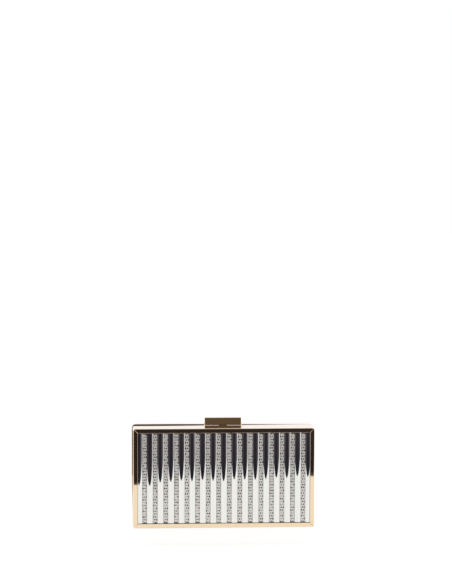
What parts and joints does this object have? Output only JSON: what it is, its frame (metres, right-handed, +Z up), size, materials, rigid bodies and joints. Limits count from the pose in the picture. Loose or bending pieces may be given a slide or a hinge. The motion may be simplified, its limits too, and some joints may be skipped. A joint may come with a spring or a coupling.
{
  "type": "box clutch",
  "caption": "Hard box clutch with hinged light gold frame halves, a front of domed silver ribs and crystal strips, a tilting top clasp and lined trays inside.",
  "frame": {"origin": "centre of the case's foot, on the surface it stands on, in the plane of the seam", "axes": "+X to the right seen from the front, +Y to the back, +Z up; the ribbed front faces -Y"},
  "size_m": [0.1926, 0.045, 0.1133],
  "materials": {
    "gold_metal": "polished light gold plate with a faint polishing grain",
    "silver_ribs": "mirror polished silver, smooth domed face",
    "crystals": "small clear faceted stones set in silver cups",
    "steel_parts": "bright steel, fine brushed grain",
    "lining": "matt black lining cloth over a stiff tray",
    "cover_leather": "silver metallic leather with a fine grain over a thin pad",
    "board": "plain grey bag board"
  },
  "bodies": {
    "rear_half": {"rear_frame": "gold_metal", "rear_board": "board", "rear_cover": "cover_leather", "rear_tray": "lining", "rear_hinge_leaf": "gold_metal", "hinge_pin": "steel_parts", "clasp_bracket": "steel_parts", "bracket_screw_left": "steel_parts", "bracket_screw_right": "steel_parts", "clasp_pin": "steel_parts", "clasp_spring": "steel_parts"},
    "front_half": {"front_frame": "gold_metal", "front_board": "board", "rib_01": "silver_ribs", "rib_02": "silver_ribs", "rib_03": "silver_ribs", "rib_04": "silver_ribs", "rib_05": "silver_ribs", "rib_06": "silver_ribs", "rib_07": "silver_ribs", "rib_08": "silver_ribs", "rib_09": "silver_ribs", "rib_10": "silver_ribs", "rib_11": "silver_ribs", "rib_12": "silver_ribs", "rib_13": "silver_ribs", "rib_14": "silver_ribs", "rib_15": "silver_ribs", "rib_16": "silver_ribs", "rib_17": "silver_ribs", "crystal_strip_01": "crystals", "crystal_strip_02": "crystals", "crystal_strip_03": "crystals", "crystal_strip_04": "crystals", "crystal_strip_05": "crystals", "crystal_strip_06": "crystals", "crystal_strip_07": "crystals", "crystal_strip_08": "crystals", "crystal_strip_09": "crystals", "crystal_strip_10": "crystals", "crystal_strip_11": "crystals", "crystal_strip_12": "crystals", "crystal_strip_13": "crystals", "crystal_strip_14": "crystals", "crystal_strip_15": "crystals", "crystal_strip_16": "crystals", "front_tray": "lining", "front_hinge_leaf": "gold_metal", "catch_plate": "steel_parts", "catch_screw_left": "steel_parts", "catch_screw_right": "steel_parts"},
    "clasp": {"clasp_bar": "gold_metal", "clasp_rocker": "steel_parts"}
  },
  "joints": [
    {"name": "front_opening", "type": "hinge", "parent": "rear_half", "child": "front_half", "pos_m": [0, 0, 0.0014], "axis": [1, 0, 0], "range_deg": [0, 90]},
    {"name": "clasp_tilt", "type": "hinge", "parent": "rear_half", "child": "clasp", "pos_m": [0, 0.005, 0.101], "axis": [-1, 0, 0], "range_deg": [0, 8], "stiffness_Nm_per_rad": 0.3, "springref_deg": -5.73}
  ]
}
